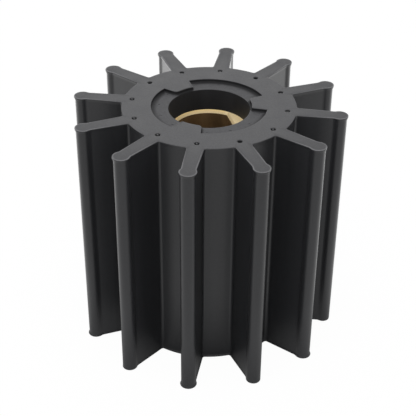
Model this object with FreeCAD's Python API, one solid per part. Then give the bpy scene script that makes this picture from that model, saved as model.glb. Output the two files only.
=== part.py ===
import FreeCAD, Part
import math
import os

from FreeCAD import Vector

# Flexible pump impeller: a rubber moulding with a brass bush in its hub.
# It stands on its lower end face. The origin is the centre of that face, and +Z is the bore axis.
# Lengths are in millimetres and angles in degrees. One tab of the recess is centred on +X.

# Whole moulding
overall_height = 87.6
tip_radius = 47.6
hub_radius = 30.15
vane_count = 12
first_vane_angle = 15.0

# Vane section: a blade that thins from the hub to a neck and ends in a round bulb
root_thickness = 5.85
neck_thickness = 5.0
neck_radius = 42.2
bulb_diameter = 5.9
root_fillet = 0.8
neck_blend = 2.2

# Lip that stands proud of the whole outline at both ends
lip_overhang = 0.35
lip_height = 0.9
lip_slope_height = 0.7

# Ring recess in the upper end, divided by tabs that are left standing
recess_radius = 20.0
recess_depth = 1.15
tab_count = 3
tab_inner_radius = 14.7
tab_angle_at_wall = 31.0
tab_angle_at_bore = 28.0
tab_round_corner = 1.7
tab_sharp_corner = 0.4

# Small moulding pits, one at each vane root
root_pit_circle = 27.0
root_pit_diameter = 1.6
root_pit_depth = 1.3
shallow_pit_number = 11
shallow_pit_depth = 0.45

# Bore of the rubber, which narrows from each end face down to the insert
bore_mouth_radius = 14.15
bore_seat_radius = 13.35
insert_setback = 8.7

# Brass insert and the shaft that it takes
insert_radius = 16.0
shaft_diameter = 25.0
shaft_flat_distance = 8.95
shaft_clearance = 0.1
flat_angle = 9.0
chamfer_width = 0.6
chamfer_depth = 1.1

# Worked out from the sizes above
upper_seat = overall_height - insert_setback
lower_seat = insert_setback
vane_pitch = 360.0 / vane_count
tab_pitch = 360.0 / tab_count
cutter_overrun = 1.0
up = Vector(0, 0, 1)
axis_point = Vector(0, 0, 0)


def polar(radius, angle):
    """Point on the base plane at a radius and an angle."""
    turn = math.radians(angle)
    return Vector(radius * math.cos(turn), radius * math.sin(turn), 0)


def turned(point, angle):
    """Point of the base plane, turned round the bore axis."""
    turn = math.radians(angle)
    return Vector(
        point.x * math.cos(turn) - point.y * math.sin(turn),
        point.x * math.sin(turn) + point.y * math.cos(turn),
        0,
    )


def mirrored(point):
    """Point of the base plane, mirrored across the X axis."""
    return Vector(point.x, -point.y, 0)


def arc(start, middle, end):
    return Part.Arc(start, middle, end).toShape()


def line(start, end):
    return Part.LineSegment(start, end).toShape()


def short_middle(centre, start, end):
    """Middle of the shorter arc from start to end about a centre."""
    bisector = start.sub(centre).add(end.sub(centre))
    bisector.normalize()
    return centre.add(bisector.multiply(start.sub(centre).Length))


def crossings(point, direction, centre, radius):
    """The two points of a line that lie on a circle, the one furthest back along the line first."""
    offset = point.sub(centre)
    along = offset.dot(direction)
    reach = math.sqrt(along ** 2 - offset.dot(offset) + radius ** 2)
    back = point.add(Vector(direction).multiply(-along - reach))
    front = point.add(Vector(direction).multiply(-along + reach))
    return back, front


def lifted(wire, height):
    """Copy of a wire on the base plane, raised to a height."""
    raised = wire.copy()
    raised.translate(Vector(0, 0, height))
    return raised


def vane_side(inset):
    """Points of one side of a vane along +X, from the hub out to the bulb.

    The inset moves the whole outline into the material by that distance."""
    root = Vector(hub_radius, root_thickness / 2, 0)
    neck = Vector(neck_radius, neck_thickness / 2, 0)
    along = neck.sub(root)
    along.normalize()
    outward = Vector(-along.y, along.x, 0)
    flank = root.sub(Vector(outward).multiply(inset))

    fillet = root_fillet + inset
    fillet_line = flank.add(Vector(outward).multiply(fillet))
    fillet_centre = crossings(fillet_line, along, axis_point, hub_radius - inset + fillet)[1]
    on_hub = Vector(fillet_centre)
    on_hub.normalize()
    on_hub.multiply(hub_radius - inset)
    flank_start = fillet_centre.sub(Vector(outward).multiply(fillet))

    bulb_centre = Vector(tip_radius - bulb_diameter / 2, 0, 0)
    bulb_radius = bulb_diameter / 2 - inset
    blend = neck_blend + inset
    blend_line = flank.add(Vector(outward).multiply(blend))
    blend_centre = crossings(blend_line, along, bulb_centre, bulb_radius + blend)[0]
    flank_end = blend_centre.sub(Vector(outward).multiply(blend))
    towards_blend = blend_centre.sub(bulb_centre)
    towards_blend.normalize()
    on_bulb = bulb_centre.add(towards_blend.multiply(bulb_radius))

    return {
        "on_hub": on_hub,
        "fillet_middle": short_middle(fillet_centre, on_hub, flank_start),
        "flank_start": flank_start,
        "flank_end": flank_end,
        "blend_middle": short_middle(blend_centre, flank_end, on_bulb),
        "on_bulb": on_bulb,
        "tip": bulb_centre.add(Vector(bulb_radius, 0, 0)),
    }


def impeller_outline(inset):
    """Closed outline of the hub and all its vanes, moved into the material by the inset."""
    side = vane_side(inset)
    hub_middle = Vector(hub_radius - inset, 0, 0)
    edges = []
    for number in range(vane_count):
        angle = first_vane_angle + number * vane_pitch
        near = {name: turned(mirrored(point), angle) for name, point in side.items()}
        far = {name: turned(point, angle) for name, point in side.items()}
        next_hub = turned(mirrored(side["on_hub"]), angle + vane_pitch)
        edges += [
            arc(near["on_hub"], near["fillet_middle"], near["flank_start"]),
            line(near["flank_start"], near["flank_end"]),
            arc(near["flank_end"], near["blend_middle"], near["on_bulb"]),
            arc(near["on_bulb"], far["tip"], far["on_bulb"]),
            arc(far["on_bulb"], far["blend_middle"], far["flank_end"]),
            line(far["flank_end"], far["flank_start"]),
            arc(far["flank_start"], far["fillet_middle"], far["on_hub"]),
            arc(far["on_hub"], turned(hub_middle, angle + vane_pitch / 2), next_hub),
        ]
    return Part.Wire(edges)


def prism(wire, bottom, top):
    """Upright solid over a wire of the base plane, between two heights."""
    face = Part.Face(lifted(wire, bottom))
    return face.extrude(Vector(0, 0, top - bottom))


def sloped(lower_wire, bottom, upper_wire, top):
    """Solid with straight sloping sides between two wires of the same make."""
    return Part.makeLoft([lifted(lower_wire, bottom), lifted(upper_wire, top)], True, True)


def hub_and_vanes():
    """The moulding's outside: a straight body with a proud lip at each end."""
    edge = impeller_outline(0)
    body = impeller_outline(lip_overhang)
    lower_slope = lip_height + lip_slope_height
    upper_slope = overall_height - lower_slope
    upper_lip = overall_height - lip_height
    layers = [
        prism(edge, 0, lip_height),
        sloped(edge, lip_height, body, lower_slope),
        prism(body, lower_slope, upper_slope),
        sloped(body, upper_slope, edge, upper_lip),
        prism(edge, upper_lip, overall_height),
    ]
    return layers[0].fuse(layers[1:]).removeSplitter()


def tab_corner(wall_point, bore_point, radius):
    """Where one side of a tab ends, the middle of its rounded corner, and where its inner end starts."""
    along = bore_point.sub(wall_point).normalize()
    inward = Vector(-along.y, along.x, 0)
    if inward.y * wall_point.y > 0:
        inward.multiply(-1)
    corner_line = wall_point.add(Vector(inward).multiply(radius))
    centre = crossings(corner_line, along, axis_point, tab_inner_radius + radius)[0]
    on_side = centre.sub(Vector(inward).multiply(radius))
    on_end = Vector(centre).normalize().multiply(tab_inner_radius)
    return on_side, short_middle(centre, on_side, on_end), on_end


def tab_edges(angle):
    """The free sides of a tab: a sharp inner corner on its clockwise side and a round one on the other."""
    half_wall = tab_angle_at_wall / 2
    half_bore = tab_angle_at_bore / 2
    first_wall = polar(recess_radius, -half_wall)
    last_wall = polar(recess_radius, half_wall)
    sharp = tab_corner(first_wall, polar(tab_inner_radius, -half_bore), tab_sharp_corner)
    blunt = tab_corner(last_wall, polar(tab_inner_radius, half_bore), tab_round_corner)
    end_middle = short_middle(axis_point, sharp[2], blunt[2])
    path = [first_wall, *sharp, end_middle, *reversed(blunt), last_wall]
    start, side, corner, end_start, middle, end_stop, bend, far_side, stop = [
        turned(point, angle) for point in path
    ]
    return [
        line(start, side),
        arc(side, corner, end_start),
        arc(end_start, middle, end_stop),
        arc(end_stop, bend, far_side),
        line(far_side, stop),
    ]


def recess_cutter():
    """Shallow disc with the tabs left out of it."""
    edges = []
    half_wall = tab_angle_at_wall / 2
    for number in range(tab_count):
        angle = number * tab_pitch
        edges += tab_edges(angle)
        edges.append(
            arc(
                polar(recess_radius, angle + half_wall),
                polar(recess_radius, angle + tab_pitch / 2),
                polar(recess_radius, angle + tab_pitch - half_wall),
            )
        )
    return prism(Part.Wire(edges), overall_height - recess_depth, overall_height + cutter_overrun)


def root_pits():
    """One pit at the root of each vane, on the upper end face."""
    pits = []
    for number in range(vane_count):
        depth = shallow_pit_depth if number == shallow_pit_number else root_pit_depth
        place = polar(root_pit_circle, first_vane_angle + number * vane_pitch)
        place.z = overall_height - depth
        pits.append(Part.makeCylinder(root_pit_diameter / 2, depth + cutter_overrun, place, up))
    return pits


def insert_space():
    """Round room that the insert fills inside the hub, with the tapered bore above and below it."""
    room = Part.makeCylinder(insert_radius, upper_seat - lower_seat, Vector(0, 0, lower_seat), up)
    lower = Part.makeCone(bore_mouth_radius, bore_seat_radius, insert_setback)
    upper = Part.makeCone(
        bore_seat_radius, bore_mouth_radius, insert_setback, Vector(0, 0, upper_seat), up
    )
    return [room, lower, upper]


def rubber_impeller():
    moulding = hub_and_vanes()
    return moulding.cut([recess_cutter()] + root_pits() + insert_space())


def shaft_outline(margin):
    """Outline of the bore: a circle with one flat side, grown by the margin."""
    radius = shaft_diameter / 2 + shaft_clearance + margin
    distance = shaft_flat_distance + shaft_clearance + margin
    half_angle = math.degrees(math.acos(distance / radius))
    start = polar(radius, flat_angle + half_angle)
    end = polar(radius, flat_angle - half_angle)
    return Part.Wire([arc(start, polar(radius, flat_angle + 180), end), line(end, start)])


def brass_insert():
    """Bush with a flat-sided bore that is chamfered at both mouths."""
    length = upper_seat - lower_seat
    bush = Part.makeCylinder(insert_radius, length, Vector(0, 0, lower_seat), up)
    bore = shaft_outline(0)
    mouth = shaft_outline(chamfer_width)
    cutters = [
        prism(bore, lower_seat, upper_seat),
        sloped(mouth, lower_seat, bore, lower_seat + chamfer_depth),
        sloped(bore, upper_seat - chamfer_depth, mouth, upper_seat),
    ]
    return bush.cut(cutters)


pieces = {
    "rubber_impeller": rubber_impeller(),
    "brass_insert": brass_insert(),
}

os.makedirs("parts", exist_ok=True)
for name, shape in pieces.items():
    solid = shape.Solids[0]
    solid.exportStep(f"parts/{name}.step")
    box = solid.BoundBox
    print(f"{name}: {len(shape.Solids)} solid, valid {solid.isValid()}, {solid.Volume / 1000:.1f} cm3,")
    print(f"  X {box.XMin:.2f} {box.XMax:.2f}  Y {box.YMin:.2f} {box.YMax:.2f}  Z {box.ZMin:.2f} {box.ZMax:.2f}")
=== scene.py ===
import math
import bpy
import bmesh
from mathutils import Matrix, Vector


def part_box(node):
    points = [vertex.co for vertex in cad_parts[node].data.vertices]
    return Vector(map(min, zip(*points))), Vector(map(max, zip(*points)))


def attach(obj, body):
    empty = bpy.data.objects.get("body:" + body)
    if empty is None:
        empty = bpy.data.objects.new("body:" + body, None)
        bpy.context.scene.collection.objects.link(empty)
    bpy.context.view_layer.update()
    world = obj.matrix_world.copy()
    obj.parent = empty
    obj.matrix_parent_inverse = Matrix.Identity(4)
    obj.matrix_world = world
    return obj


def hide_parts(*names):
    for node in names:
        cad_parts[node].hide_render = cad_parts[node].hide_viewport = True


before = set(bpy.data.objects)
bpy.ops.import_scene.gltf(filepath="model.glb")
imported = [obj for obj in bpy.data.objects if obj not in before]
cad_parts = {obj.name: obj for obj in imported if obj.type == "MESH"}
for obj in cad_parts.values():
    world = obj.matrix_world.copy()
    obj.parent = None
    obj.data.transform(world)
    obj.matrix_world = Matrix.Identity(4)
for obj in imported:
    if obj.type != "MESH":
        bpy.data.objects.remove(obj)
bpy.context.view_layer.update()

mm = 0.001
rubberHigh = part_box("rubber_impeller")[1]
insertLow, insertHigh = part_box("brass_insert")

sameHeight = 0.01 * mm  # vertices this close are at one height
slack = 0.05 * mm  # how far off a surface a vertex may lie and still belong to it
fineSlack = 0.02 * mm
mirrorMerge = 0.001 * mm  # vertices closer than these become one
outlineMerge = 0.002 * mm
shellMerge = 0.004 * mm
justShort = 0.9  # shares of a size, to stay within it or to reach past it
justPast = 1.1
flatNormal = 0.9  # a face is flat when its normal points up or down this much
roundingSegments = 2


# Outlines are drawn flat in a bmesh: a vertex is swept round a centre, or pulled out along a line

def polar(radius, degrees, height=0.0):
    turn = math.radians(degrees)
    return Vector((radius * math.cos(turn), radius * math.sin(turn), height))


def angleOf(point, centre):
    return math.degrees(math.atan2(point.y - centre.y, point.x - centre.x))


def vertsOf(geometry):
    return [item for item in geometry if isinstance(item, bmesh.types.BMVert)]


def edgesOf(geometry):
    return [item for item in geometry if isinstance(item, bmesh.types.BMEdge)]


def arcFrom(bm, vert, centre, degrees, steps):
    swept = bmesh.ops.spin(
        bm, geom=[vert], cent=centre, axis=(0, 0, 1), angle=math.radians(degrees), steps=steps
    )
    return vertsOf(swept["geom_last"])[0]


def lineFrom(bm, vert, point):
    grown = bmesh.ops.extrude_vert_indiv(bm, verts=[vert])["verts"][0]
    grown.co = point
    return grown


def closeFace(bm, first, last):
    bm.edges.new((last, first))
    bmesh.ops.contextual_create(bm, geom=bm.edges[:])


def crossing(point, along, centre, radius, ahead):
    # where a line crosses a circle, the near or the far side
    offset = point - centre
    middle = offset.dot(along)
    reach = math.sqrt(middle * middle - offset.length_squared + radius * radius)
    return point + along * (-middle + (reach if ahead else -reach))


def addCopies(target, source, turns, flip=False, lift=0.0):
    # puts turned copies of a finished outline into another bmesh
    for degrees in turns:
        copy = source.copy()
        turn = Matrix.Rotation(math.radians(degrees), 3, "Z")
        bmesh.ops.rotate(copy, verts=copy.verts, cent=(0, 0, 0), matrix=turn)
        bmesh.ops.translate(copy, verts=copy.verts, vec=(0, 0, lift))
        if flip:
            bmesh.ops.reverse_faces(copy, faces=copy.faces)
        carrier = bpy.data.meshes.new("carrier")
        copy.to_mesh(carrier)
        target.from_mesh(carrier)
        bpy.data.meshes.remove(carrier)
        copy.free()


def upward(bm):
    # a flat outline faces up
    for face in bm.faces:
        face.normal_update()
    bmesh.ops.reverse_faces(bm, faces=[face for face in bm.faces if face.normal.z < 0])


def mirrorAcross(bm):
    # turns an outline into its mirror image
    bmesh.ops.scale(bm, vec=(1, -1, 1), verts=bm.verts)
    bmesh.ops.reverse_faces(bm, faces=bm.faces)


def addMirrorImage(bm):
    # keeps half an outline and joins its mirror image to it
    half = bm.verts[:] + bm.edges[:] + bm.faces[:]
    bmesh.ops.mirror(bm, geom=half, axis="Y", merge_dist=mirrorMerge)


def radiusOf(vert):
    return math.hypot(vert.co.x, vert.co.y)


def atHeight(vert, height):
    return abs(vert.co.z - height) < sameHeight


def rimEdges(bm, test):
    return [edge for edge in bm.edges if edge.is_boundary and all(test(vert) for vert in edge.verts)]


def pullTo(bm, edges, height):
    # extrudes an open rim straight up or down to a height
    grown = bmesh.ops.extrude_edge_only(bm, edges=edges)["geom"]
    for vert in vertsOf(grown):
        vert.co.z = height
    return edgesOf(grown)


def ringVerts(edges):
    return list({vert for edge in edges for vert in edge.verts})


def scaleRing(edges, radius):
    # makes a round rim wider or narrower
    for vert in ringVerts(edges):
        place = Vector((vert.co.x, vert.co.y, 0)).normalized() * radius
        vert.co.x, vert.co.y = place.x, place.y


def mitre(first, second):
    # one move for a corner, from the unit moves of the two edges that meet there
    return (first + second) / (1 + first.dot(second))


def shiftRing(edges, distance):
    # moves a closed rim sideways by a distance, square to its edges; positive moves it outward
    moves = {}
    for vert in ringVerts(edges):
        sides = []
        for edge in vert.link_edges:
            if edge in edges:
                wall = edge.link_faces[0]
                wall.normal_update()
                sides.append(Vector((wall.normal.x, wall.normal.y, 0)).normalized())
        moves[vert] = mitre(*sides) * distance
    for vert, move in moves.items():
        vert.co += move


def outwardMoves(edges):
    # for each vertex of a flat face's rim, the way square off the rim, mitred at corners
    moves = {}
    for vert in ringVerts(edges):
        sides = []
        for edge in vert.link_edges:
            if edge in edges:
                loop = edge.link_loops[0]
                along = loop.link_loop_next.vert.co - loop.vert.co
                sides.append(along.cross(Vector((0, 0, 1))).normalized())
        moves[vert] = mitre(*sides)
    return moves


def raiseRoundedFoot(bm, edges, widthAt, height, steps):
    # draws a floor's rim in, then climbs back out to the wall, flat at first and steep at the end
    moves = outwardMoves(set(edges))
    base = {vert: (vert.co.copy(), move, widthAt(vert)) for vert, move in moves.items()}
    for vert, (place, move, width) in base.items():
        vert.co = place - move * width
    for step in range(1, steps + 1):
        angle = math.radians(90 * step / steps)
        edges = edgesOf(bmesh.ops.extrude_edge_only(bm, edges=edges)["geom"])
        risen = {}
        for vert in ringVerts(edges):
            neighbours = [edge.other_vert(vert) for edge in vert.link_edges]
            below = [other for other in neighbours if other in base][0]
            place, move, width = base[below]
            vert.co = place - move * width * (1 - math.sin(angle))
            vert.co.z = place.z + height * (1 - math.cos(angle)) ** 2
            risen[vert] = base[below]
        base = risen
    return edges


def cornerEdges(bm, height, test):
    # edges at one height where a wall meets a flat face
    found = []
    for edge in bm.edges:
        if not all(atHeight(vert, height) and test(vert) for vert in edge.verts):
            continue
        flats = [abs(face.normal.z) > flatNormal for face in edge.link_faces]
        if any(flats) and not all(flats):
            found.append(edge)
    return found


def roundOff(bm, edges, width):
    bmesh.ops.bevel(
        bm, geom=edges, offset=width, offset_type="OFFSET", affect="EDGES",
        segments=roundingSegments, profile=0.5, material=-1, clamp_overlap=True,
    )
    bm.normal_update()


def finishPiece(name, bm, materials, smoothAngle):
    openEdges = sum(not edge.is_manifold for edge in bm.edges)
    cubicCentimetres = bm.calc_volume() * 1e6
    print("%s: %d faces, %d open edges, %.2f cm3" % (name, len(bm.faces), openEdges, cubicCentimetres))
    mesh = bpy.data.meshes.new(name)
    bm.to_mesh(mesh)
    bm.free()
    for material in materials:
        mesh.materials.append(material)
    mesh.shade_smooth()
    mesh.set_sharp_from_angle(angle=math.radians(smoothAngle))
    piece = bpy.data.objects.new(name, mesh)
    bpy.context.scene.collection.objects.link(piece)
    weighted = piece.modifiers.new("even shading", "WEIGHTED_NORMAL")
    weighted.keep_sharp = True
    weighted.weight = 100
    return piece


# Materials

def newMaterial(name):
    material = bpy.data.materials.new(name)
    material.use_nodes = True
    return material, material.node_tree.nodes, material.node_tree.links


def addMath(nodes, links, operation, first, second, third=None):
    # a Math node fed by sockets or plain numbers
    made = nodes.new("ShaderNodeMath")
    made.operation = operation
    for index, value in enumerate((first, second, third)):
        if isinstance(value, (int, float)):
            made.inputs[index].default_value = value
        elif value is not None:
            links.new(value, made.inputs[index])
    return made.outputs[0]


def makeGrainGroup():
    # soft mottling and fine grain: a colour, a roughness and a height that vary over the surface; Edge
    # blends the colour toward Edge Colour, which the materials use for painted light and painted shade
    group = bpy.data.node_groups.new("surface grain", "ShaderNodeTree")
    panel = group.interface
    for name, kind, value in (
        ("Colour", "NodeSocketColor", (0.5, 0.5, 0.5, 1)),
        ("Edge Colour", "NodeSocketColor", (0.5, 0.5, 0.5, 1)),
        ("Edge", "NodeSocketFloat", 0.0),
        ("Stretch", "NodeSocketVector", (1.0, 1.0, 1.0)),
        ("Mottling Scale", "NodeSocketFloat", 120.0),
        ("Mottling", "NodeSocketFloat", 0.1),
        ("Grain Scale", "NodeSocketFloat", 1800.0),
        ("Grain", "NodeSocketFloat", 0.1),
        ("Roughness", "NodeSocketFloat", 0.5),
        ("Edge Roughness", "NodeSocketFloat", 0.5),
        ("Roughness Spread", "NodeSocketFloat", 0.08),
    ):
        socket = panel.new_socket(name, in_out="INPUT", socket_type=kind)
        socket.default_value = value
    for name, kind in (
        ("Colour", "NodeSocketColor"),
        ("Roughness", "NodeSocketFloat"),
        ("Height", "NodeSocketFloat"),
    ):
        panel.new_socket(name, in_out="OUTPUT", socket_type=kind)

    nodes, links = group.nodes, group.links
    given = nodes.new("NodeGroupInput").outputs
    result = nodes.new("NodeGroupOutput")
    place = nodes.new("ShaderNodeTexCoord")
    drawn = nodes.new("ShaderNodeVectorMath")
    drawn.operation = "MULTIPLY"
    links.new(place.outputs["Object"], drawn.inputs[0])
    links.new(given["Stretch"], drawn.inputs[1])
    mottle = nodes.new("ShaderNodeTexNoise")
    mottle.inputs["Detail"].default_value = 3.0
    links.new(drawn.outputs["Vector"], mottle.inputs["Vector"])
    links.new(given["Mottling Scale"], mottle.inputs["Scale"])
    grain = nodes.new("ShaderNodeTexNoise")
    grain.inputs["Detail"].default_value = 2.0
    links.new(place.outputs["Object"], grain.inputs["Vector"])
    links.new(given["Grain Scale"], grain.inputs["Scale"])

    def swing(noise):
        # the noise from minus one to one
        ranged = nodes.new("ShaderNodeMapRange")
        for name, value in (("From Min", 0.3), ("From Max", 0.7), ("To Min", -1.0), ("To Max", 1.0)):
            ranged.inputs[name].default_value = value
        links.new(noise.outputs["Fac"], ranged.inputs["Value"])
        return ranged.outputs["Result"]

    mottled = swing(mottle)
    tone = addMath(nodes, links, "MULTIPLY_ADD", mottled, given["Mottling"], 1.0)
    tone = addMath(nodes, links, "MULTIPLY_ADD", swing(grain), given["Grain"], tone)
    towardEdge = nodes.new("ShaderNodeMix")
    towardEdge.data_type = "RGBA"
    links.new(given["Edge"], towardEdge.inputs["Factor"])
    links.new(given["Colour"], towardEdge.inputs["A"])
    links.new(given["Edge Colour"], towardEdge.inputs["B"])
    tinted = nodes.new("ShaderNodeVectorMath")
    tinted.operation = "SCALE"
    links.new(towardEdge.outputs["Result"], tinted.inputs[0])
    links.new(tone, tinted.inputs["Scale"])
    links.new(tinted.outputs["Vector"], result.inputs["Colour"])
    step = addMath(nodes, links, "SUBTRACT", given["Edge Roughness"], given["Roughness"])
    rough = addMath(nodes, links, "MULTIPLY_ADD", step, given["Edge"], given["Roughness"])
    rough = addMath(nodes, links, "MULTIPLY_ADD", mottled, given["Roughness Spread"], rough)
    links.new(rough, result.inputs["Roughness"])
    links.new(grain.outputs["Fac"], result.inputs["Height"])
    return group


grainGroup = makeGrainGroup()


def makeSurface(name, settings):
    material, nodes, links = newMaterial(name)
    shader = nodes["Principled BSDF"]
    shader.inputs["IOR"].default_value = settings["ior"]
    shader.inputs["Metallic"].default_value = settings["metallic"]
    grain = nodes.new("ShaderNodeGroup")
    grain.node_tree = grainGroup
    grain.inputs["Colour"].default_value = (*settings["colour"], 1)
    grain.inputs["Edge Colour"].default_value = (*settings["edgeColour"], 1)
    grain.inputs["Stretch"].default_value = settings["stretch"]
    grain.inputs["Mottling Scale"].default_value = settings["mottlingScale"]
    grain.inputs["Mottling"].default_value = settings["mottling"]
    grain.inputs["Grain Scale"].default_value = settings["grainScale"]
    grain.inputs["Grain"].default_value = settings["grain"]
    grain.inputs["Roughness"].default_value = settings["roughness"]
    grain.inputs["Edge Roughness"].default_value = settings["edgeRoughness"]
    grain.inputs["Roughness Spread"].default_value = settings["roughnessSpread"]
    edge = nodes.new("ShaderNodeAttribute")
    edge.attribute_name = settings["edgeMask"]
    bump = nodes.new("ShaderNodeBump")
    bump.inputs["Strength"].default_value = settings["bumpStrength"]
    bump.inputs["Distance"].default_value = settings["bumpDepth"]
    links.new(edge.outputs["Fac"], grain.inputs["Edge"])
    links.new(grain.outputs["Colour"], shader.inputs["Base Color"])
    links.new(grain.outputs["Roughness"], shader.inputs["Roughness"])
    links.new(grain.outputs["Height"], bump.inputs["Height"])
    links.new(bump.outputs["Normal"], shader.inputs["Normal"])
    return material


mouldedRubber = makeSurface("moulded rubber", {
    "colour": (0.0185, 0.0190, 0.0208),
    # painted light: paler along the lower outline, on the pit rims and in the upper part of the pits
    "edgeMask": "paintedLightAndShade",
    "edgeColour": (0.035, 0.035, 0.037),
    "ior": 1.5,
    "metallic": 0.0,
    "stretch": (1.0, 1.0, 0.03),  # drawn out along the mould
    "mottlingScale": 200.0,
    "mottling": 0.12,
    "grainScale": 1500.0,
    "grain": 0.1,
    "roughness": 0.35,
    "edgeRoughness": 0.42,
    "roughnessSpread": 0.02,
    "bumpStrength": 0.05,
    "bumpDepth": 0.03 * mm,
})

recessRubber = makeSurface("recess rubber", {
    "colour": (0.008, 0.008, 0.009),
    "edgeMask": "pale",  # painted shade: dark on the walls and at the floor's edge beside them, paler on the open floor
    "edgeColour": (0.068, 0.068, 0.072),
    "ior": 1.35,
    "metallic": 0.0,
    "stretch": (1.0, 1.0, 1.0),
    "mottlingScale": 420.0,
    "mottling": 0.12,
    "grainScale": 1800.0,
    "grain": 0.14,
    "roughness": 0.6,
    "edgeRoughness": 0.6,
    "roughnessSpread": 0.05,
    "bumpStrength": 0.3,
    "bumpDepth": 0.04 * mm,
})

groundRubber = makeSurface("ground rubber", {
    "colour": (0.030, 0.030, 0.033),
    "edgeMask": "paintedLightAndShade",  # painted light: both end faces are painted paler, the hub all over and the outline most, as a painted highlight
    "edgeColour": (0.112, 0.112, 0.118),
    "ior": 1.5,
    "metallic": 0.0,
    "stretch": (1.0, 1.0, 1.0),
    "mottlingScale": 200.0,
    "mottling": 0.14,
    "grainScale": 2000.0,
    "grain": 0.2,
    "roughness": 0.5,
    "edgeRoughness": 0.5,
    "roughnessSpread": 0.06,
    "bumpStrength": 0.4,
    "bumpDepth": 0.05 * mm,
})

boreRubber = makeSurface("bore rubber", {
    "colour": (0.0125, 0.0126, 0.014),
    "edgeMask": "paintedLightAndShade",
    "edgeColour": (0.02, 0.02, 0.021),
    "ior": 1.4,
    "metallic": 0.0,
    "stretch": (1.0, 1.0, 0.3),
    "mottlingScale": 200.0,
    "mottling": 0.15,
    "grainScale": 1500.0,
    "grain": 0.1,
    "roughness": 0.6,
    "edgeRoughness": 0.55,
    "roughnessSpread": 0.05,
    "bumpStrength": 0.2,
    "bumpDepth": 0.03 * mm,
})

facedBrass = makeSurface("faced brass", {
    "colour": (0.87, 0.65, 0.305),
    # painted light: brighter over the flat's chamfer, on the face beside it and along the chamfer's foot
    "edgeMask": "paintedLightAndShade",
    "edgeColour": (0.95, 0.76, 0.45),
    "ior": 1.5,
    "metallic": 0.35,
    "stretch": (1.0, 1.0, 1.0),
    "mottlingScale": 220.0,
    "mottling": 0.03,
    "grainScale": 2600.0,
    "grain": 0.05,
    "roughness": 0.62,
    "edgeRoughness": 0.45,
    "roughnessSpread": 0.05,
    "bumpStrength": 0.25,
    "bumpDepth": 0.02 * mm,
})

boreBrass = makeSurface("dulled bore brass", {
    "colour": (0.36, 0.24, 0.125),
    "edgeMask": "paintedLightAndShade",  # painted shadow: a dark line at the upper end, under the chamfer
    "edgeColour": (0.08, 0.045, 0.02),
    "ior": 1.5,
    "metallic": 0.9,
    "stretch": (1.0, 1.0, 0.15),  # broaching runs along the bore
    "mottlingScale": 380.0,
    "mottling": 0.16,
    "grainScale": 2200.0,
    "grain": 0.08,
    "roughness": 0.52,
    "edgeRoughness": 0.5,
    "roughnessSpread": 0.06,
    "bumpStrength": 0.2,
    "bumpDepth": 0.03 * mm,
})
print("materials made")


# The rubber moulding; places round the axis are in degrees from the middle of one tab

rubber = {
    "vaneCount": 12,
    "firstVane": 15.0,
    "tipRadius": 47.6 * mm,
    "hubRadius": 30.15 * mm,
    "rootHalf": 2.925 * mm,
    "neckHalf": 2.5 * mm,
    "neckRadius": 42.2 * mm,
    "bulbRadius": 2.95 * mm,
    "rootFillet": 0.8 * mm,
    "neckBlend": 2.2 * mm,
    "seamRadius": 22.0 * mm,  # where the vanes' share of the end face meets the recess's share
    "pitCircle": 27.0 * mm,
    "pitRadius": 0.8 * mm,
    "pitDepth": 1.3 * mm,
    "shallowPitAngle": 345.0,
    "shallowPitDepth": 0.45 * mm,
    "nibAngles": (315.0, 255.0, 225.0, 195.0, 165.0),
    "nibInset": 0.5 * mm,
    "nibHeight": 1.25 * mm,
    "nibLean": 0.22 * mm,
    "nibLeanAngle": 97.0,
    "plugHeights": {105.0: 0.88 * mm, 75.0: 0.95 * mm, 15.0: 0.88 * mm},  # pits left partly full
    "plugInset": 0.3 * mm,
    "lipOverhang": 0.35 * mm,
    "upperLipHeight": 0.55 * mm,
    "upperLipSlope": 0.95 * mm,
    "lowerLipHeight": 0.2 * mm,
    "lowerLipSlope": 1.0 * mm,
    "flareShare": 0.8,  # how much of the overhang is gone halfway up the lower slope
    "trimmedVanes": {225.0: 0.8, 285.0: 1.0, 345.0: 1.0},  # where the lower lip was cut back, how far
    "recessRadius": 20.0 * mm,
    "recessDepth": 1.15 * mm,
    "recessFootWidth": 2.0 * mm,
    "tabFootWidth": 0.3 * mm,
    "tabFootReach": 2.0 * mm,  # how far out the foot takes to widen
    "cornerFootWidth": 0.9 * mm,
    "recessFootHeight": 0.5 * mm,
    "paintedWallShadeFade": 2.3,  # painted shade: the recess floor is painted darker toward its wall
    "tabCount": 3,
    "tabRadius": 14.7 * mm,
    "tabWallAngle": 15.5,
    "tabBoreAngle": 14.0,
    "roundCorner": 1.7 * mm,
    "sharpCorner": 0.4 * mm,
    "markCircle": 17.5 * mm,
    "markRadius": 0.5 * mm,
    "markDepth": 0.1 * mm,
    "mouthRadius": 14.15 * mm,
    "seatRadius": 13.35 * mm,
    "insertRadius": insertHigh.x,
    "edgeBand": 0.6 * mm,
    "hubPaintedLight": 0.17,  # painted light: the hub's end face is painted paler all over, the vane ends only at their outline
    "recessRimRounding": 0.12 * mm,
    "pitRounding": 0.3 * mm,
    "outlineRounding": 0.2 * mm,
    "lowerRounding": 0.1 * mm,
    "boreRounding": 0.2 * mm,
    "groundNormal": 0.98,  # how level a ground face is
    "roundingNormal": 0.3,  # and how level its rounding still is where it was ground too
    "ringStep": 3.75,  # degrees between points round the hub and the bore
    "bulbSteps": 12,  # these count the straight pieces in each curve
    "blendSteps": 5,
    "filletSteps": 4,
    "halfPitSteps": 10,
    "halfMarkSteps": 7,
    "wallSteps": 14,
    "cornerSteps": 5,
    "halfTabSteps": 4,
    "footSteps": 5,
    "smoothAngle": 38,
}

# half a recess floor is three outlines: where a border between two of them leaves the bore, the angle
# of the round mark on it, and its point on the wall
recessBorders = [
    {"boreAngle": 22.5, "markAngle": 21.0, "wallStep": 12},
    {"boreAngle": 48.75, "markAngle": 47.0, "wallStep": 4},
]

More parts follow.
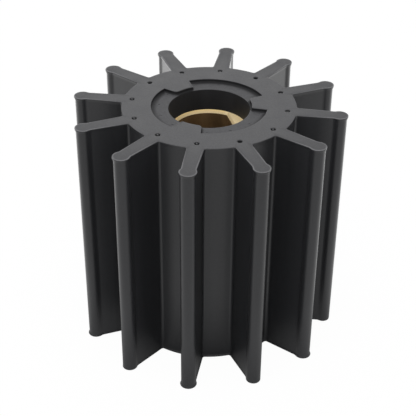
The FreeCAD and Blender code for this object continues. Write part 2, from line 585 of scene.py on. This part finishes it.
vanePitch = 360 / rubber["vaneCount"]
vaneTurns = [rubber["firstVane"] + vanePitch * number for number in range(rubber["vaneCount"])]
tabPitch = 360 / rubber["tabCount"]
tabTurns = [tabPitch * number for number in range(rubber["tabCount"])]
pocketMiddle = tabPitch / 2  # degrees from the middle of a tab to the middle of the next pocket
rubberSurfaces = [mouldedRubber, groundRubber, boreRubber, recessRubber]


def tabAngle(vert):
    # the angle from the middle of the nearest tab
    return (angleOf(vert.co, Vector()) + pocketMiddle) % tabPitch - pocketMiddle


def vaneSector(insideRadius, withPit):
    # half of one vane and its share of the hub's end face, then its mirror image
    r = rubber
    bm = bmesh.new()
    bulbCentre = Vector((r["tipRadius"] - r["bulbRadius"], 0, 0))
    root = Vector((r["hubRadius"], r["rootHalf"], 0))
    along = (Vector((r["neckRadius"], r["neckHalf"], 0)) - root).normalized()
    outward = Vector((-along.y, along.x, 0))
    blendCentre = crossing(
        root + outward * r["neckBlend"], along, bulbCentre, r["bulbRadius"] + r["neckBlend"], ahead=False
    )
    filletCentre = crossing(
        root + outward * r["rootFillet"], along, Vector(), r["hubRadius"] + r["rootFillet"], ahead=True
    )
    bulbEnd = angleOf(blendCentre, bulbCentre)
    flankAngle = angleOf(blendCentre - outward, blendCentre)
    flankStart = filletCentre - outward * r["rootFillet"]
    halfTurn = vanePitch / 2
    ringSteps = round(halfTurn / r["ringStep"])

    tip = bm.verts.new((r["tipRadius"], 0, 0))
    onBulb = arcFrom(bm, tip, bulbCentre, bulbEnd, r["bulbSteps"])
    blendStart = angleOf(onBulb.co, blendCentre)
    flankEnd = arcFrom(bm, onBulb, blendCentre, flankAngle - blendStart, r["blendSteps"])
    flankFoot = lineFrom(bm, flankEnd, flankStart)
    hubStart = angleOf(filletCentre, Vector())
    filletTurn = angleOf(-filletCentre, Vector()) - flankAngle
    onHub = arcFrom(bm, flankFoot, filletCentre, filletTurn, r["filletSteps"])
    gapMiddle = arcFrom(bm, onHub, Vector(), halfTurn - hubStart, ringSteps)
    inner = lineFrom(bm, gapMiddle, polar(insideRadius, halfTurn))
    last = arcFrom(bm, inner, Vector(), -halfTurn, ringSteps)
    if withPit:
        nearPit = lineFrom(bm, last, polar(r["pitCircle"] - r["pitRadius"], 0))
        last = arcFrom(bm, nearPit, polar(r["pitCircle"], 0), -180, r["halfPitSteps"])
    closeFace(bm, tip, last)
    upward(bm)
    addMirrorImage(bm)
    upward(bm)
    return bm


def tabCorner(corner):
    # where a tab's side meets its rounded corner, the corner's centre and how far it turns
    r = rubber
    wall = polar(r["recessRadius"], r["tabWallAngle"])
    bore = polar(r["tabRadius"], r["tabBoreAngle"])
    along = (bore - wall).normalized()
    inward = Vector((-along.y, along.x, 0))
    if inward.y > 0:
        inward.negate()
    centre = crossing(wall + inward * corner, along, Vector(), r["tabRadius"] + corner, ahead=False)
    onSide = centre - inward * corner
    turn = (angleOf(-centre, Vector()) - angleOf(onSide, centre)) % 360
    return onSide, centre, turn if turn < 180 else turn - 360


def finishTab(bm, vert, corner):
    # from a recess wall's end round the tab's corner to the middle of its bore side
    onSide, centre, turn = tabCorner(corner)
    tabSide = lineFrom(bm, vert, onSide)
    tabEnd = arcFrom(bm, tabSide, centre, turn, rubber["cornerSteps"])
    return arcFrom(bm, tabEnd, Vector(), -angleOf(tabEnd.co, Vector()), rubber["halfTabSteps"])


def wallAngle(step):
    return pocketMiddle + (rubber["tabWallAngle"] - pocketMiddle) * step / rubber["wallSteps"]


def recessTop(corner):
    # the end face from the middle of a tab to the middle of the next pocket
    r = rubber
    bm = bmesh.new()
    start = bm.verts.new(polar(r["seamRadius"], 0))
    atPocket = arcFrom(bm, start, Vector(), pocketMiddle, round(pocketMiddle / r["ringStep"]))
    onWall = lineFrom(bm, atPocket, polar(r["recessRadius"], pocketMiddle))
    tabWall = arcFrom(bm, onWall, Vector(), r["tabWallAngle"] - pocketMiddle, r["wallSteps"])
    closeFace(bm, start, finishTab(bm, tabWall, corner))
    upward(bm)
    return bm


def passMark(bm, vert, border, outward):
    # along a border to its round mark and round half of it, and on the way outward to the wall as well
    r = rubber
    centre = polar(r["markCircle"], border["markAngle"])
    inner = polar(border["boreRadius"], border["boreAngle"])
    outer = polar(r["recessRadius"], wallAngle(border["wallStep"]))
    first, last = (inner, outer) if outward else (outer, inner)
    near = centre + (first - centre).normalized() * r["markRadius"]
    turn = (angleOf(last, centre) - angleOf(first, centre)) % 360
    onMark = lineFrom(bm, vert, near)
    pastMark = arcFrom(bm, onMark, centre, turn, r["halfMarkSteps"])
    return lineFrom(bm, pastMark, last) if outward else pastMark


def recessFloor(boreRadius, corner):
    # three outlines from the middle of a tab to the middle of a pocket, a round mark on each border
    r = rubber
    first, second = [dict(border, boreRadius=boreRadius) for border in recessBorders]
    outlines = []
    for start, end, before, after in (
        (0.0, first["boreAngle"], None, first),
        (first["boreAngle"], second["boreAngle"], first, second),
        (second["boreAngle"], pocketMiddle, second, None),
    ):
        bm = bmesh.new()
        begin = bm.verts.new(polar(boreRadius, start))
        vert = arcFrom(bm, begin, Vector(), end - start, round((end - start) / r["ringStep"]))
        if after:
            vert = passMark(bm, vert, after, outward=True)
        else:
            vert = lineFrom(bm, vert, polar(r["recessRadius"], pocketMiddle))
        fromStep = after["wallStep"] if after else 0
        toStep = before["wallStep"] if before else r["wallSteps"]
        vert = arcFrom(bm, vert, Vector(), wallAngle(toStep) - wallAngle(fromStep), toStep - fromStep)
        last = passMark(bm, vert, before, outward=False) if before else finishTab(bm, vert, corner)
        closeFace(bm, begin, last)
        upward(bm)
        outlines.append(bm)
    return outlines


def drawEnds(bm, top, floor, floorBore):
    # the flat upper end face and recess floor: outlines copied round the axis and merged
    r = rubber
    addCopies(bm, vaneSector(r["seamRadius"], withPit=True), vaneTurns, lift=top)
    for corner, mirrored in ((r["roundCorner"], False), (r["sharpCorner"], True)):
        upper = recessTop(corner)
        lowers = recessFloor(floorBore, corner)
        if mirrored:
            for outline in [upper] + lowers:
                mirrorAcross(outline)
        addCopies(bm, upper, tabTurns, lift=top)
        for outline in lowers:
            addCopies(bm, outline, tabTurns, lift=floor)
    bmesh.ops.remove_doubles(bm, verts=bm.verts, dist=outlineMerge)
    bmesh.ops.recalc_face_normals(bm, faces=bm.faces)
    upward(bm)


def footWidth(vert):
    # narrow beside a tab, and never so wide that the floor's corners fold over
    r = rubber
    outward = (radiusOf(vert) - r["tabRadius"]) / r["tabFootReach"]
    aside = math.radians(abs(tabAngle(vert)) - r["tabWallAngle"]) * radiusOf(vert)
    besideTab = r["tabFootWidth"] + (r["recessFootWidth"] - r["tabFootWidth"]) * min(1, max(0, outward))
    return min(besideTab, r["cornerFootWidth"] + max(0, aside) / 2)


def raiseRecessWall(bm, top, floor, floorBore):
    # the round marks in the recess floor, then the wall, which starts with a rounded foot
    r = rubber
    nearBore = (floorBore + r["tabRadius"]) / 2
    atMark = lambda vert: abs(radiusOf(vert) - r["markCircle"]) < justPast * r["markRadius"]
    onFloor = lambda vert: atHeight(vert, floor) and radiusOf(vert) > nearBore
    marks = pullTo(bm, rimEdges(bm, lambda vert: onFloor(vert) and atMark(vert)), floor - r["markDepth"])
    bmesh.ops.holes_fill(bm, edges=marks, sides=0)
    footRim = rimEdges(bm, lambda vert: onFloor(vert) and not atMark(vert))
    wallFoot = raiseRoundedFoot(bm, footRim, footWidth, r["recessFootHeight"], r["footSteps"])
    pullTo(bm, wallFoot, top)
    bmesh.ops.remove_doubles(bm, verts=bm.verts, dist=shellMerge)


def sinkPits(bm, top):
    # a pit at each vane root; some hold a nib and some are partly full
    r = rubber
    pitRims = rimEdges(bm, lambda vert: atHeight(vert, top) and radiusOf(vert) < r["pitCircle"] + mm)
    pitFloors = pullTo(bm, pitRims, top - r["pitDepth"])
    shallowPit = polar(r["pitCircle"], r["shallowPitAngle"], top - r["pitDepth"])
    for vert in ringVerts(pitFloors):
        if (vert.co - shallowPit).length < 2 * r["pitRadius"]:
            vert.co.z = top - r["shallowPitDepth"]
    filled = bmesh.ops.holes_fill(bm, edges=pitFloors, sides=0)["faces"]
    bm.normal_update()
    for face in filled:
        middle = face.calc_center_median()
        isHere = lambda angle: (middle - polar(r["pitCircle"], angle, middle.z)).length < mm
        if any(isHere(angle) for angle in r["nibAngles"]):
            bmesh.ops.inset_individual(bm, faces=[face], thickness=r["nibInset"], depth=r["nibHeight"])
            bmesh.ops.translate(bm, verts=face.verts, vec=polar(r["nibLean"], r["nibLeanAngle"]))
        for height in [height for angle, height in r["plugHeights"].items() if isHere(angle)]:
            bmesh.ops.inset_individual(bm, faces=[face], thickness=r["plugInset"], depth=height)


def pullOutside(bm, top):
    # the outside from the top down: lip, slope, body, slope, lip
    r = rubber
    outline = rimEdges(bm, lambda vert: atHeight(vert, top))
    upperLip = pullTo(bm, outline, top - r["upperLipHeight"])
    upperBody = pullTo(bm, upperLip, top - r["upperLipHeight"] - r["upperLipSlope"])
    lowerBody = pullTo(bm, upperBody, r["lowerLipHeight"] + r["lowerLipSlope"])
    lowerFlare = pullTo(bm, lowerBody, r["lowerLipHeight"] + r["lowerLipSlope"] / 2)
    lowerLip = pullTo(bm, lowerFlare, r["lowerLipHeight"])
    pullTo(bm, lowerLip, 0)
    for ring, share in ((upperBody, 1.0), (lowerBody, 1.0), (lowerFlare, r["flareShare"])):
        shiftRing(set(ring), -r["lipOverhang"] * share)


def pullBore(bm, floor):
    # the tapered bore, the room for the insert and the lower mouth
    r = rubber
    rim = rimEdges(bm, lambda vert: atHeight(vert, floor))
    for height, radius in (
        (insertHigh.z, r["seatRadius"]),
        (insertHigh.z, r["insertRadius"]),
        (insertLow.z, r["insertRadius"]),
        (insertLow.z, r["seatRadius"]),
        (0, r["mouthRadius"]),
    ):
        rim = pullTo(bm, rim, height)
        scaleRing(rim, radius)


def higherNeighbour(vert):
    return max((edge.other_vert(vert) for edge in vert.link_edges), key=lambda other: other.co.z)


def trimLowerLip(bm):
    # some vanes have lost the lip at their lower end: its points move in under the body's wall
    r = rubber
    for foot in [vert for vert in bm.verts if atHeight(vert, 0) and radiusOf(vert) > r["hubRadius"] + mm]:
        lip = higherNeighbour(foot)
        flare = higherNeighbour(lip)
        body = higherNeighbour(flare)
        for angle, share in r["trimmedVanes"].items():
            aside = (angleOf(foot.co, Vector()) - angle + 180) % 360 - 180
            if abs(aside) < vanePitch / 2:
                for low in (foot, lip, flare):
                    low.co.x += (body.co.x - low.co.x) * share
                    low.co.y += (body.co.y - low.co.y) * share


def roundCorners(bm, top, floor, floorBore):
    # small roundings where the mould and the grinding leave them
    r = rubber
    atBore = lambda vert: radiusOf(vert) < floorBore + slack
    inRecess = lambda vert: radiusOf(vert) < r["seamRadius"] - mm
    onPit = lambda vert: abs(radiusOf(vert) - r["pitCircle"]) < justPast * r["pitRadius"]
    beyondPits = lambda vert: radiusOf(vert) > r["hubRadius"] - mm
    for height, test, width in (
        (floor, atBore, r["boreRounding"]),
        (top, inRecess, r["recessRimRounding"]),
        (top, onPit, r["pitRounding"]),
        (top, beyondPits, r["outlineRounding"]),
        (0, beyondPits, r["lowerRounding"]),
        (0, inRecess, r["boreRounding"]),
    ):
        roundOff(bm, cornerEdges(bm, height, test), width)


def paintRubber(bm, top, floor):
    # which faces were ground, lie in the recess or in the bore, and the painted light and painted shade
    # on them
    r = rubber
    paintedLightAndShade = bm.verts.layers.float.new("paintedLightAndShade")
    pale = bm.verts.layers.float.new("pale")
    inRecess = lambda vert: radiusOf(vert) < r["recessRadius"] + slack
    for vert in bm.verts:
        radius = radiusOf(vert)
        depth = top - vert.co.z
        nearEnd = min(vert.co.z, depth) < justShort * r["outlineRounding"]
        atOutline = any(abs(face.normal.z) < r["groundNormal"] for face in vert.link_faces)
        # painted light: a painted highlight along the outline of both end faces, and the hub's end face
        # painted paler all over
        if nearEnd and atOutline and radius > r["hubRadius"] + mm:
            vert[paintedLightAndShade] = 1.0
        elif nearEnd and (atOutline or radius < r["hubRadius"] - r["edgeBand"] / 2):
            vert[paintedLightAndShade] = r["hubPaintedLight"]
        # painted light: the upper part of each pit, below its rounding, is painted paler; this reaches
        # the shallow pit's floor and the plugs' tops
        inPit = abs(radius - r["pitCircle"]) < r["pitRadius"] + slack
        if inPit and justPast * r["pitRounding"] < depth < r["pitDepth"] / 2:
            vert[paintedLightAndShade] = 1.0
        # painted shade in the recess: pale is 1 on the open floor and falls to 0 up the wall's rounded
        # foot; the floor strip in front of each tab's bore side is painted dark as well
        if inRecess(vert):
            climb = math.sqrt(min(1.0, max(0.0, vert.co.z - floor) / r["recessFootHeight"]))
            fromWall = 1 - math.sqrt(1 - (1 - climb) ** 2)
            vert[pale] = fromWall ** r["paintedWallShadeFade"]
            if radius < r["tabRadius"] + 2 * slack and abs(tabAngle(vert)) < r["tabBoreAngle"]:
                vert[pale] = 0.0
    for face in bm.faces:
        heights = [vert.co.z for vert in face.verts]
        radii = [radiusOf(vert) for vert in face.verts]
        level = abs(face.normal.z)
        atTop = min(heights) > top - justPast * r["outlineRounding"]
        atBottom = max(heights) < justPast * r["outlineRounding"]
        besidePit = r["seamRadius"] < min(radii) and max(radii) < r["hubRadius"] - mm
        onPitRim = atTop and level < r["groundNormal"] and besidePit
        inBore = max(radii) < r["insertRadius"] + slack and max(heights) < floor + slack
        if (atTop or atBottom) and level > r["roundingNormal"] and not onPitRim:
            face.material_index = rubberSurfaces.index(groundRubber)
        elif inBore and level < flatNormal:
            face.material_index = rubberSurfaces.index(boreRubber)
        elif all(inRecess(vert) for vert in face.verts) and min(heights) > floor - mm / 2:
            face.material_index = rubberSurfaces.index(recessRubber)


def buildRubber():
    r = rubber
    bm = bmesh.new()
    top = rubberHigh.z
    floor = top - r["recessDepth"]
    seatDepth = top - insertHigh.z
    floorBore = r["mouthRadius"] + (r["seatRadius"] - r["mouthRadius"]) * r["recessDepth"] / seatDepth
    drawEnds(bm, top, floor, floorBore)
    raiseRecessWall(bm, top, floor, floorBore)
    sinkPits(bm, top)
    pullOutside(bm, top)
    pullBore(bm, floor)
    addCopies(bm, vaneSector(r["mouthRadius"], withPit=False), vaneTurns, flip=True)
    bmesh.ops.remove_doubles(bm, verts=bm.verts, dist=shellMerge)
    trimLowerLip(bm)
    bm.normal_update()

    # a narrow band round each end face, where its edge is painted paler as a painted highlight
    for height in (top, 0):
        ends = [face for face in bm.faces if all(atHeight(vert, height) for vert in face.verts)]
        bmesh.ops.inset_region(bm, faces=ends, thickness=r["edgeBand"], depth=0, use_even_offset=True)

    roundCorners(bm, top, floor, floorBore)
    paintRubber(bm, top, floor)
    return finishPiece("moulded_impeller", bm, rubberSurfaces, r["smoothAngle"])


impeller = buildRubber()
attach(impeller, "root")
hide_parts("rubber_impeller")


# The brass insert, a sleeve whose bore has one flat

sleeve = {
    "outerRadius": insertHigh.x,
    "boreRadius": 12.6 * mm,
    "flatDistance": 9.05 * mm,
    "flatAngle": 9.0,
    "chamferWidth": 0.6 * mm,
    "chamferDepth": 1.1 * mm,
    "edgeBreak": 0.09 * mm,
    "outerEdgeBreak": 0.2 * mm,
    # how far down the painted shadow line at the bore's top reaches
    "darkLineDepth": 0.5 * mm,
    "boreSteps": 44,
    "outerSteps": 48,
    "smoothAngle": 30,
}

boreTop = insertHigh.z - sleeve["chamferDepth"]
boreBottom = insertLow.z + sleeve["chamferDepth"]
sleeveSurfaces = [facedBrass, boreBrass]


def onOutside(vert):
    return radiusOf(vert) > sleeve["outerRadius"] - mm / 2


def inside(vert):
    return not onOutside(vert)


def paintSleeve(bm):
    # painted light on the chamfer over the flat, on the face beside it and along the chamfer's foot, a
    # painted shadow line where the bore starts, and the bore's own walls
    s = sleeve
    paintedLightAndShade = bm.verts.layers.float.new("paintedLightAndShade")
    for vert in bm.verts:
        overFlat = vert.co.x > s["flatDistance"] + fineSlack and vert.co.z > boreTop and inside(vert)
        if overFlat or abs(vert.co.z - boreTop) < fineSlack:
            vert[paintedLightAndShade] = 1.0
    for face in bm.faces:
        heights = [vert.co.z for vert in face.verts]
        alongBore = max(heights) < boreTop + fineSlack and min(heights) > boreBottom - fineSlack
        if alongBore and all(radiusOf(vert) < s["boreRadius"] + slack for vert in face.verts):
            face.material_index = sleeveSurfaces.index(boreBrass)


def buildSleeve():
    s = sleeve
    bm = bmesh.new()
    mouthRadius = s["boreRadius"] + s["chamferWidth"]
    mouthFlat = s["flatDistance"] + s["chamferWidth"]
    cornerAngle = math.degrees(math.acos(mouthFlat / mouthRadius))
    start = bm.verts.new((s["outerRadius"], 0, 0))
    farSide = arcFrom(bm, start, Vector(), 180, s["outerSteps"])
    onMouth = lineFrom(bm, farSide, Vector((-mouthRadius, 0, 0)))
    corner = arcFrom(bm, onMouth, Vector(), cornerAngle - 180, s["boreSteps"])
    closeFace(bm, start, lineFrom(bm, corner, Vector((mouthFlat, 0, 0))))
    addMirrorImage(bm)
    upward(bm)
    lowerEnd = bm.copy()
    bmesh.ops.translate(bm, verts=bm.verts, vec=(0, 0, insertHigh.z))

    pullTo(bm, rimEdges(bm, onOutside), insertLow.z)
    upperBore = pullTo(bm, rimEdges(bm, inside), boreTop)
    # a ring where the painted shadow line at the bore's top fades out
    darkLine = pullTo(bm, upperBore, boreTop - s["darkLineDepth"])
    lowerBore = pullTo(bm, darkLine, boreBottom)
    pullTo(bm, lowerBore, insertLow.z)
    for ring in (upperBore, darkLine, lowerBore):
        shiftRing(set(ring), s["chamferWidth"])
    addCopies(bm, lowerEnd, [0], flip=True, lift=insertLow.z)
    lowerEnd.free()
    bmesh.ops.remove_doubles(bm, verts=bm.verts, dist=outlineMerge)
    bm.normal_update()

    for height in (insertLow.z, insertHigh.z):
        roundOff(bm, cornerEdges(bm, height, onOutside), s["outerEdgeBreak"])
        roundOff(bm, cornerEdges(bm, height, inside), s["edgeBreak"])
    paintSleeve(bm)
    turn = Matrix.Rotation(math.radians(s["flatAngle"]), 3, "Z")
    bmesh.ops.rotate(bm, verts=bm.verts, cent=(0, 0, 0), matrix=turn)
    bm.normal_update()
    return finishPiece("bored_sleeve", bm, sleeveSurfaces, s["smoothAngle"])


insert = buildSleeve()
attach(insert, "root")
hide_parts("brass_insert")


# Floor, light and camera

studio = {
    "floorSize": 6.0,
    "floorDrop": 0.1 * mm,
    "floorColour": (0.9, 0.9, 0.9),
    "floorRoughness": 0.9,
    "cameraWhite": 0.97,
    "worldStrength": 0.85,
    "backAngle": 84.0,  # which way the back of the sweep lies, seen from the part
    "glossyMiddle": 1.22,  # painted light: how bright the floor glows in a reflection under the part
    "glossySlope": 5.6,  # painted light: and how much brighter that glow gets toward the back, a metre
    "glossyLowest": 0.76,
    "glossyHighest": 2.2,
    "footStart": 27.0 * mm,  # painted shadow: the part's own shade painted on the floor, seen in reflections
    "footEnd": 70.0 * mm,
}


def makeFloorMaterial():
    # pale and lit as it is, white to the camera, and in reflections a glow with painted light, darker at
    # the front and brighter toward the back, and a painted shadow round the part's foot
    material, nodes, links = newMaterial("pale floor")
    shader = nodes["Principled BSDF"]
    shader.inputs["Base Color"].default_value = (*studio["floorColour"], 1)
    shader.inputs["Roughness"].default_value = studio["floorRoughness"]
    shader.inputs["Specular IOR Level"].default_value = 0.0
    white = nodes.new("ShaderNodeEmission")
    path = nodes.new("ShaderNodeLightPath").outputs
    straight = addMath(nodes, links, "MAXIMUM", path["Is Camera Ray"], path["Is Transmission Ray"])
    share = addMath(nodes, links, "MULTIPLY", straight, studio["cameraWhite"])
    share = addMath(nodes, links, "ADD", share, path["Is Glossy Ray"])

    place = nodes.new("ShaderNodeTexCoord")
    split = nodes.new("ShaderNodeSeparateXYZ")
    links.new(place.outputs["Object"], split.inputs[0])
    toward = math.radians(studio["backAngle"])
    along = addMath(nodes, links, "MULTIPLY", split.outputs["X"], math.cos(toward))
    along = addMath(nodes, links, "MULTIPLY_ADD", split.outputs["Y"], math.sin(toward), along)
    bright = addMath(nodes, links, "MULTIPLY_ADD", along, studio["glossySlope"], studio["glossyMiddle"])
    bright = addMath(nodes, links, "MAXIMUM", bright, studio["glossyLowest"])
    bright = addMath(nodes, links, "MINIMUM", bright, studio["glossyHighest"])
    reach = nodes.new("ShaderNodeVectorMath")
    reach.operation = "LENGTH"
    links.new(place.outputs["Object"], reach.inputs[0])
    shade = nodes.new("ShaderNodeMapRange")
    shade.inputs["From Min"].default_value = studio["footStart"]
    shade.inputs["From Max"].default_value = studio["footEnd"]
    links.new(reach.outputs["Value"], shade.inputs["Value"])
    bright = addMath(nodes, links, "MULTIPLY", bright, shade.outputs["Result"])
    inReflection = addMath(nodes, links, "SUBTRACT", bright, 1.0)
    strength = addMath(nodes, links, "MULTIPLY_ADD", inReflection, path["Is Glossy Ray"], 1.0)
    links.new(strength, white.inputs["Strength"])

    mixed = nodes.new("ShaderNodeMixShader")
    links.new(share, mixed.inputs[0])
    links.new(shader.outputs[0], mixed.inputs[1])
    links.new(white.outputs[0], mixed.inputs[2])
    links.new(mixed.outputs[0], nodes["Material Output"].inputs["Surface"])
    return material


def makeFloor():
    bm = bmesh.new()
    bmesh.ops.create_grid(bm, x_segments=1, y_segments=1, size=studio["floorSize"] / 2)
    bmesh.ops.translate(bm, verts=bm.verts, vec=(0, 0, -studio["floorDrop"]))
    mesh = bpy.data.meshes.new("studio_floor")
    bm.to_mesh(mesh)
    bm.free()
    mesh.materials.append(makeFloorMaterial())
    floor = bpy.data.objects.new("studio_floor", mesh)
    bpy.context.scene.collection.objects.link(floor)


def makeWorld():
    world = bpy.data.worlds.new("white studio")
    world.use_nodes = True
    nodes, links = world.node_tree.nodes, world.node_tree.links
    light = nodes["Background"]
    light.inputs["Color"].default_value = (1, 1, 1, 1)
    light.inputs["Strength"].default_value = studio["worldStrength"]
    white = nodes.new("ShaderNodeBackground")
    white.inputs["Color"].default_value = (1, 1, 1, 1)
    white.inputs["Strength"].default_value = 1.0
    path = nodes.new("ShaderNodeLightPath")
    mixed = nodes.new("ShaderNodeMixShader")
    links.new(path.outputs["Is Camera Ray"], mixed.inputs[0])
    links.new(light.outputs[0], mixed.inputs[1])
    links.new(white.outputs[0], mixed.inputs[2])
    links.new(mixed.outputs[0], nodes["World Output"].inputs["Surface"])
    bpy.context.scene.world = world


lamps = [
    {"name": "overhead panel", "azimuth": 243, "elevation": 71, "distance": 1.6, "size": 0.9, "power": 9},
    {"name": "back panel", "azimuth": 93, "elevation": 28, "distance": 1.2, "size": 0.8, "power": 1.1},
]


def makeLamps():
    for lamp in lamps:
        light = bpy.data.lights.new(lamp["name"], "AREA")
        light.shape = "SQUARE"
        light.size = lamp["size"]
        light.energy = lamp["power"]
        holder = bpy.data.objects.new(lamp["name"], light)
        reach = lamp["distance"] * math.cos(math.radians(lamp["elevation"]))
        lift = lamp["distance"] * math.sin(math.radians(lamp["elevation"]))
        holder.location = polar(reach, lamp["azimuth"], lift)
        holder.rotation_euler = (-holder.location).to_track_quat("-Z", "Y").to_euler()
        bpy.context.scene.collection.objects.link(holder)


viewPoint = {
    "focalPixels": 1038.7,  # on a picture 416 pixels wide
    "centreX": 208.1,
    "centreY": 208.0,
    "elevation": 33.3,
    "roll": 0.58,
    "turn": -6.83,  # from the photograph's left and right to the part's own axes
    "distance": 7.4892,  # this and the two below count in tip radii
    "sideways": 0.0033,
    "upward": -0.7465,
    "pictureWidth": 416,
    "sensorWidth": 36.0,
    "nearest": 0.01,
}


def makeCamera():
    v = viewPoint
    elevation = math.radians(v["elevation"])
    roll = math.radians(v["roll"])
    back = Vector((0, -math.cos(elevation), math.sin(elevation)))
    right = Vector((1, 0, 0))
    up = Vector((0, math.sin(elevation), math.cos(elevation)))
    place = back * v["distance"] + right * v["sideways"] + up * v["upward"]
    rolledRight = right * math.cos(roll) + up * math.sin(roll)
    rolledUp = up * math.cos(roll) - right * math.sin(roll)
    turn = Matrix.Rotation(math.radians(v["turn"]), 3, "Z")
    place = turn @ place * rubber["tipRadius"] + Vector((0, 0, rubberHigh.z))
    axes = Matrix((turn @ rolledRight, turn @ rolledUp, turn @ back)).transposed()
    lens = bpy.data.cameras.new("photograph view")
    lens.sensor_width = v["sensorWidth"]
    lens.lens = v["focalPixels"] * v["sensorWidth"] / v["pictureWidth"]
    middle = (v["pictureWidth"] - 1) / 2
    lens.shift_x = (middle - v["centreX"]) / v["pictureWidth"]
    lens.shift_y = (v["centreY"] - middle) / v["pictureWidth"]
    lens.clip_start = v["nearest"]
    camera = bpy.data.objects.new("photograph view", lens)
    camera.matrix_world = Matrix.Translation(place) @ axes.to_4x4()
    bpy.context.scene.collection.objects.link(camera)
    bpy.context.scene.camera = camera


makeFloor()
makeWorld()
makeLamps()
makeCamera()
bpy.context.scene.view_settings.view_transform = "Standard"
print("studio set up")
